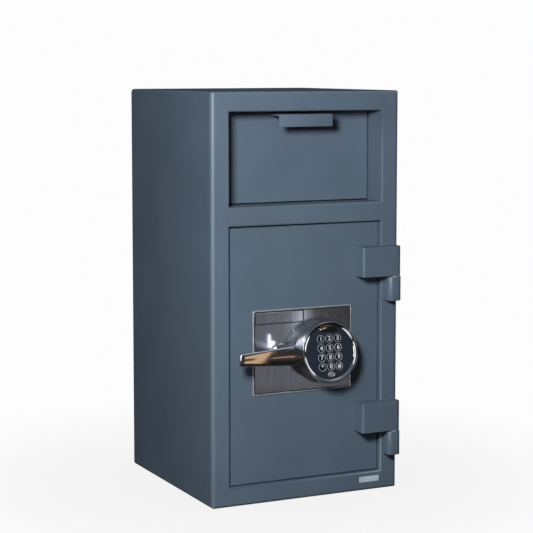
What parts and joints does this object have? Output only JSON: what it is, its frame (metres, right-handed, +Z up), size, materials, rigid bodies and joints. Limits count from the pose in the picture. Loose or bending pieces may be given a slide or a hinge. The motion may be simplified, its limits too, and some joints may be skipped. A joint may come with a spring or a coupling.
{
  "type": "deposit safe",
  "caption": "Upright steel deposit safe with a tipping deposit drawer above a hinged door, a keypad lock and a lever that throws the locking bolts.",
  "frame": {"origin": "centre of the base, on the floor under the body", "axes": "+Z up, the front with door and drawer faces -Y, +X to the right seen from the front"},
  "size_m": [0.35, 0.3895, 0.686],
  "materials": {
    "body_paint": "slate grey paint with a fine orange-peel texture",
    "door_paint": "slate grey paint with a fine orange-peel texture",
    "inner_paint": "slate grey paint, semi-gloss",
    "zinc_steel": "zinc plated",
    "hard_steel": "hardened, ground",
    "stainless": "polished stainless sheet",
    "chrome": "polished",
    "brass": "turned",
    "bronze": "sintered bush",
    "die_cast": "die cast",
    "gloss_black": "high gloss",
    "key_plastic": "gloss with pale rings and digits",
    "visor_lens": "dark tinted lens",
    "inlay": "polished, bare",
    "board": "printed circuit board",
    "battery_case": "plain sleeve",
    "cable_sheath": "black sheath",
    "label": "blank paper label"
  },
  "bodies": {
    "cabinet": {"body_shell": "body_paint", "back_plate": "body_paint", "door_jamb": "body_paint", "drawer_surround": "inner_paint", "anti_fish_baffle": "inner_paint", "hopper_bushes": "bronze", "hinge_knuckle_upper": "body_paint", "hinge_knuckle_lower": "body_paint", "hinge_pins": "zinc_steel", "hinge_washers": "brass", "blank_label": "label"},
    "door": {"door_plate": "door_paint", "door_cover": "inner_paint", "bolt_frame": "inner_paint", "hinge_block_upper": "door_paint", "hinge_block_lower": "door_paint", "fixed_bolts": "zinc_steel", "hard_plate": "hard_steel", "lock_plate": "stainless", "handle_rose": "chrome", "spindle_bush": "bronze", "lock_case": "die_cast", "lock_screws": "zinc_steel", "cover_screws": "zinc_steel", "keypad_housing": "chrome", "keypad_ring": "chrome", "keypad_face": "gloss_black", "status_visor": "visor_lens", "oval_inlay": "inlay", "keypad_board": "board", "battery": "battery_case", "keypad_cable": "cable_sheath"},
    "handle": {"handle_lever": "chrome", "handle_spindle": "zinc_steel", "bolt_crank": "zinc_steel", "handle_screw": "zinc_steel"},
    "boltwork": {"bolt_bar": "zinc_steel", "locking_bolts": "chrome", "bolt_screws": "zinc_steel"},
    "lock_tongue": {"lock_bolt": "brass"},
    "hopper": {"hopper_panel": "door_paint", "hopper_tray": "inner_paint", "hopper_sides": "inner_paint", "hopper_pull": "door_paint", "hopper_pins": "zinc_steel", "hopper_clips": "zinc_steel", "hopper_stop_pins": "zinc_steel"},
    "key_1_button": {"key_1": "key_plastic"},
    "key_2_button": {"key_2": "key_plastic"},
    "key_3_button": {"key_3": "key_plastic"},
    "key_4_button": {"key_4": "key_plastic"},
    "key_5_button": {"key_5": "key_plastic"},
    "key_6_button": {"key_6": "key_plastic"},
    "key_7_button": {"key_7": "key_plastic"},
    "key_8_button": {"key_8": "key_plastic"},
    "key_9_button": {"key_9": "key_plastic"},
    "key_left_button": {"key_left": "key_plastic"},
    "key_0_button": {"key_0": "key_plastic"},
    "key_right_button": {"key_right": "key_plastic"}
  },
  "joints": [
    {"name": "door_swing", "type": "hinge", "parent": "cabinet", "child": "door", "pos_m": [0.1615, -0.1856, 0.25], "axis": [0, 0, 1], "range_deg": [0, 180]},
    {"name": "handle_turn", "type": "hinge", "parent": "door", "child": "handle", "pos_m": [-0.045, -0.21, 0.252], "axis": [0, -1, 0], "range_deg": [0, 90]},
    {"name": "bolt_slide", "type": "slide", "parent": "door", "child": "boltwork", "axis": [-1, 0, 0], "range_m": [0, 0.02]},
    {"name": "lock_bolt_slide", "type": "slide", "parent": "door", "child": "lock_tongue", "axis": [-1, 0, 0], "range_m": [0, 0.008]},
    {"name": "hopper_tilt", "type": "hinge", "parent": "cabinet", "child": "hopper", "pos_m": [0, -0.1185, 0.512], "axis": [1, 0, 0], "range_deg": [0, 55]},
    {"name": "key_1_press", "type": "slide", "parent": "door", "child": "key_1_button", "axis": [0, 0.9877, -0.1564], "range_m": [0, 0.0008], "stiffness_N_per_m": 600},
    {"name": "key_2_press", "type": "slide", "parent": "door", "child": "key_2_button", "axis": [0, 0.9877, -0.1564], "range_m": [0, 0.0008], "stiffness_N_per_m": 600},
    {"name": "key_3_press", "type": "slide", "parent": "door", "child": "key_3_button", "axis": [0, 0.9877, -0.1564], "range_m": [0, 0.0008], "stiffness_N_per_m": 600},
    {"name": "key_4_press", "type": "slide", "parent": "door", "child": "key_4_button", "axis": [0, 0.9877, -0.1564], "range_m": [0, 0.0008], "stiffness_N_per_m": 600},
    {"name": "key_5_press", "type": "slide", "parent": "door", "child": "key_5_button", "axis": [0, 0.9877, -0.1564], "range_m": [0, 0.0008], "stiffness_N_per_m": 600},
    {"name": "key_6_press", "type": "slide", "parent": "door", "child": "key_6_button", "axis": [0, 0.9877, -0.1564], "range_m": [0, 0.0008], "stiffness_N_per_m": 600},
    {"name": "key_7_press", "type": "slide", "parent": "door", "child": "key_7_button", "axis": [0, 0.9877, -0.1564], "range_m": [0, 0.0008], "stiffness_N_per_m": 600},
    {"name": "key_8_press", "type": "slide", "parent": "door", "child": "key_8_button", "axis": [0, 0.9877, -0.1564], "range_m": [0, 0.0008], "stiffness_N_per_m": 600},
    {"name": "key_9_press", "type": "slide", "parent": "door", "child": "key_9_button", "axis": [0, 0.9877, -0.1564], "range_m": [0, 0.0008], "stiffness_N_per_m": 600},
    {"name": "key_left_press", "type": "slide", "parent": "door", "child": "key_left_button", "axis": [0, 0.9877, -0.1564], "range_m": [0, 0.0008], "stiffness_N_per_m": 600},
    {"name": "key_0_press", "type": "slide", "parent": "door", "child": "key_0_button", "axis": [0, 0.9877, -0.1564], "range_m": [0, 0.0008], "stiffness_N_per_m": 600},
    {"name": "key_right_press", "type": "slide", "parent": "door", "child": "key_right_button", "axis": [0, 0.9877, -0.1564], "range_m": [0, 0.0008], "stiffness_N_per_m": 600}
  ],
  "couplings": [
    {"joint": "bolt_slide", "follows": "handle_turn", "m_per_rad": 0.01273},
    {"joint": "lock_bolt_slide", "follows": "handle_turn", "m_per_rad": 0.00509}
  ]
}
